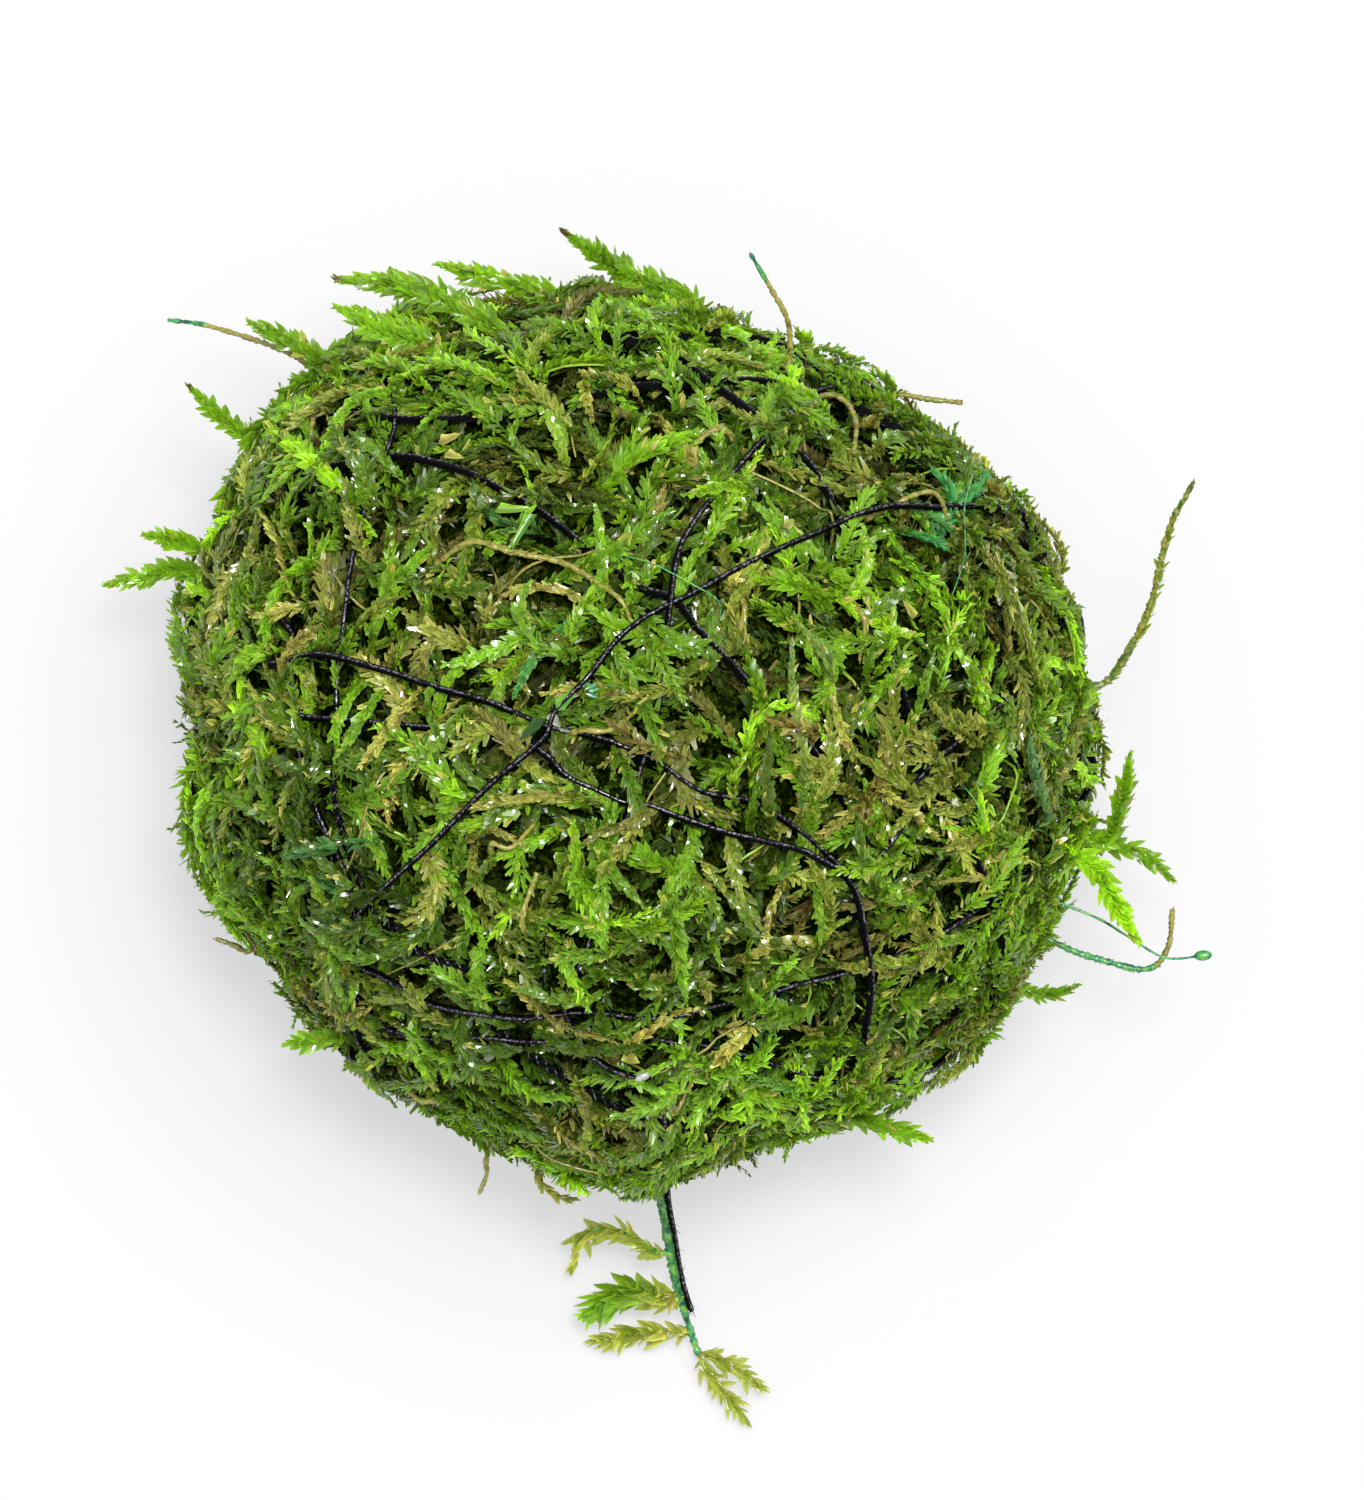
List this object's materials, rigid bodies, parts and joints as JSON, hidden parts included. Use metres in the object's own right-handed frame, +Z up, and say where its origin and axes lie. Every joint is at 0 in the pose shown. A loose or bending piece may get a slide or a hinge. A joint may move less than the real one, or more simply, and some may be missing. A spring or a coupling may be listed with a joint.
{
  "type": "moss ball",
  "caption": "Ball of leafy aquarium moss wound with black thread, slightly flattened, resting on a small flat spot, with loose shoots standing out and one trailing sprig.",
  "frame": {"origin": "centre of the small flat spot that the ball rests on", "axes": "+Z up from the resting surface, +Y away from the trailing sprig, +X to the right when seen from above with the sprig at the bottom"},
  "size_m": [0.0728, 0.0798, 0.0554],
  "materials": {
    "moss_mat": "wet leafy mat",
    "thread": "damp twisted cotton",
    "fresh_shoot": "wet fresh leaves",
    "old_stem": "dull old stem",
    "dyed_stem": "glossy blue-green stem"
  },
  "bodies": {
    "root": {"moss_ball": "moss_mat", "binding_thread": "thread", "thin_stem_upper_left": "old_stem", "leafy_shoot_upper_left": "fresh_shoot", "dark_tip_shoot_left": "fresh_shoot", "long_shoot_top_left": "fresh_shoot", "short_shoot_top_left": "fresh_shoot", "bright_shoot_top": "fresh_shoot", "dark_tip_shoot_top": "fresh_shoot", "thin_stem_top": "old_stem", "bare_stem_top_right": "old_stem", "long_stem_right": "old_stem", "leafy_shoot_right_up": "fresh_shoot", "leafy_shoot_right_out": "fresh_shoot", "bright_shoot_right": "fresh_shoot", "curled_stem_right": "dyed_stem", "knobbed_stem_right": "dyed_stem", "short_shoot_lower_right": "fresh_shoot", "leafy_shoot_bottom_right": "fresh_shoot", "thin_stem_bottom": "old_stem", "leafy_shoot_bottom_left": "fresh_shoot", "bare_stem_left": "old_stem", "leafy_shoot_left": "fresh_shoot", "short_shoot_left": "fresh_shoot", "curled_shoot_bottom": "old_stem", "trailing_stem": "dyed_stem", "trailing_branch_inner": "fresh_shoot", "trailing_branch_middle": "fresh_shoot", "trailing_branch_outer": "old_stem", "trailing_tip_right": "fresh_shoot", "trailing_tip_end": "old_stem"}
  },
  "joints": []
}
